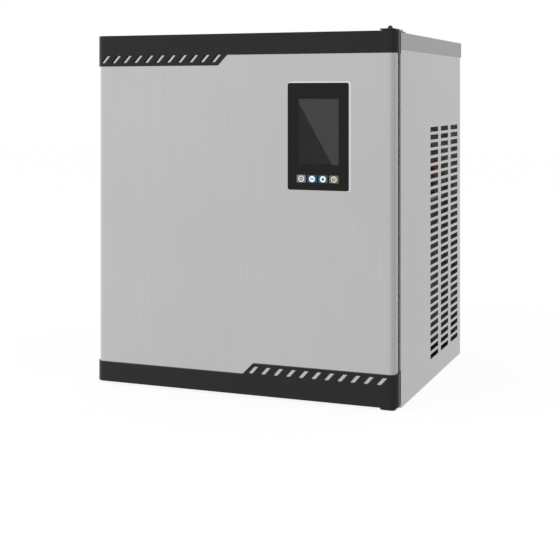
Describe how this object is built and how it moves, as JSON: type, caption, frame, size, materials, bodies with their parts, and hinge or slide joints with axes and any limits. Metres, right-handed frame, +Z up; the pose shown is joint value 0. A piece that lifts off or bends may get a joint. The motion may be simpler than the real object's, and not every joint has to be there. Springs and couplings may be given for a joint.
{
  "type": "modular cube ice machine head",
  "caption": "Box-shaped air-cooled ice machine head with a right-hung steel door, dark end trims, a control panel, vented sides and an ice drop through its floor.",
  "frame": {"origin": "middle of the footprint on the surface that the machine stands on", "axes": "+Z up, the door faces -Y, the hinge side is +X"},
  "size_m": [0.561, 0.5, 0.6327],
  "materials": {
    "door_steel": "fine vertical brush, satin",
    "side_steel": "plain cold-rolled stainless sheet, satin",
    "trim_plastic": "fine moulded texture",
    "panel_black": "gloss moulding with a thin bright rim",
    "display_glass": "smoked clear window",
    "display_grey": "switched-off display",
    "key_grey": "moulded key with a white ring",
    "key_blue": "moulded key with a white disc",
    "key_teal": "moulded key with a white disc",
    "key_olive": "moulded key with a pale ring",
    "board_green": "solder mask",
    "foam_cream": "rigid foam",
    "liner_white": "formed white plastic",
    "seal_rubber": "magnetic seal",
    "foam_black": "closed-cell foam strip",
    "galvanised": "galvanised sheet",
    "black_steel": "black powder coat",
    "frame_steel": "satin stainless",
    "nickel": "nickel plate",
    "grey_moulding": "moulded grey plastic",
    "curtain_clear": "translucent moulded sheet",
    "copper": "drawn copper tube",
    "brass": "machined brass",
    "fin_aluminium": "pressed fins",
    "hose_white": "silicone hose",
    "blue_plastic": "moulded plastic",
    "fan_black": "glass-filled plastic",
    "zinc": "zinc plated fastener"
  },
  "bodies": {
    "cabinet": {"base_pan": "galvanised", "bin_seal": "foam_black", "right_side_panel": "side_steel", "left_side_panel": "side_steel", "back_panel": "galvanised", "top_cover": "side_steel", "front_frame": "frame_steel", "compartment_liner": "liner_white", "divider_wall": "liner_white", "evaporator_plate": "nickel", "evaporator_frame": "grey_moulding", "evaporator_coil": "copper", "water_distributor": "grey_moulding", "water_trough": "grey_moulding", "water_pump": "blue_plastic", "pump_hose": "hose_white", "float_stem": "grey_moulding", "curtain_brackets": "grey_moulding", "compressor": "black_steel", "compressor_grommets": "foam_black", "condenser_coil": "fin_aluminium", "fan_shroud": "galvanised", "fan_motor": "black_steel", "motor_bracket": "galvanised", "discharge_line": "copper", "liquid_line": "copper", "filter_drier": "copper", "suction_line": "copper", "expansion_valve": "brass", "hot_gas_valve": "brass", "hot_gas_line": "copper", "control_box": "galvanised", "water_inlet_valve": "liner_white", "fill_tube": "hose_white", "drain_tube": "hose_white", "drain_fitting": "grey_moulding", "power_gland": "fan_black", "upper_hinge_plate": "black_steel", "lower_hinge_plate": "black_steel", "hinge_cap": "black_steel", "hinge_bolts": "zinc", "back_screws": "zinc"},
    "door": {"door_skin": "door_steel", "door_top_trim": "trim_plastic", "door_bottom_trim": "trim_plastic", "door_foam": "foam_cream", "door_liner": "liner_white", "door_gasket": "seal_rubber", "hinge_bushes": "grey_moulding", "control_bezel": "panel_black", "display_window": "display_glass", "display_module": "display_grey", "control_board": "board_green"},
    "key_power": {"key_power": "key_grey"},
    "key_down": {"key_down": "key_blue"},
    "key_up": {"key_up": "key_teal"},
    "key_timer": {"key_timer": "key_olive"},
    "fan": {"fan": "fan_black"},
    "curtain": {"splash_curtain": "curtain_clear"},
    "float": {"float_ring": "liner_white"}
  },
  "joints": [
    {"name": "door_hinge", "type": "hinge", "parent": "cabinet", "child": "door", "pos_m": [0.2646, -0.235, 0.312], "axis": [0, 0, 1], "range_deg": [0, 110]},
    {"name": "key_power_press", "type": "slide", "parent": "door", "child": "key_power", "axis": [0, 1, 0], "range_m": [0, 0.0008], "stiffness_N_per_m": 800},
    {"name": "key_down_press", "type": "slide", "parent": "door", "child": "key_down", "axis": [0, 1, 0], "range_m": [0, 0.0008], "stiffness_N_per_m": 800},
    {"name": "key_up_press", "type": "slide", "parent": "door", "child": "key_up", "axis": [0, 1, 0], "range_m": [0, 0.0008], "stiffness_N_per_m": 800},
    {"name": "key_timer_press", "type": "slide", "parent": "door", "child": "key_timer", "axis": [0, 1, 0], "range_m": [0, 0.0008], "stiffness_N_per_m": 800},
    {"name": "fan_spin", "type": "hinge", "parent": "cabinet", "child": "fan", "pos_m": [0.215, 0.09, 0.175], "axis": [1, 0, 0], "continuous": true},
    {"name": "curtain_swing", "type": "hinge", "parent": "cabinet", "child": "curtain", "pos_m": [-0.04, -0.137, 0.512], "axis": [-1, 0, 0], "range_deg": [0, 12]},
    {"name": "float_rise", "type": "slide", "parent": "cabinet", "child": "float", "axis": [0, 0, 1], "range_m": [0, 0.036]}
  ]
}
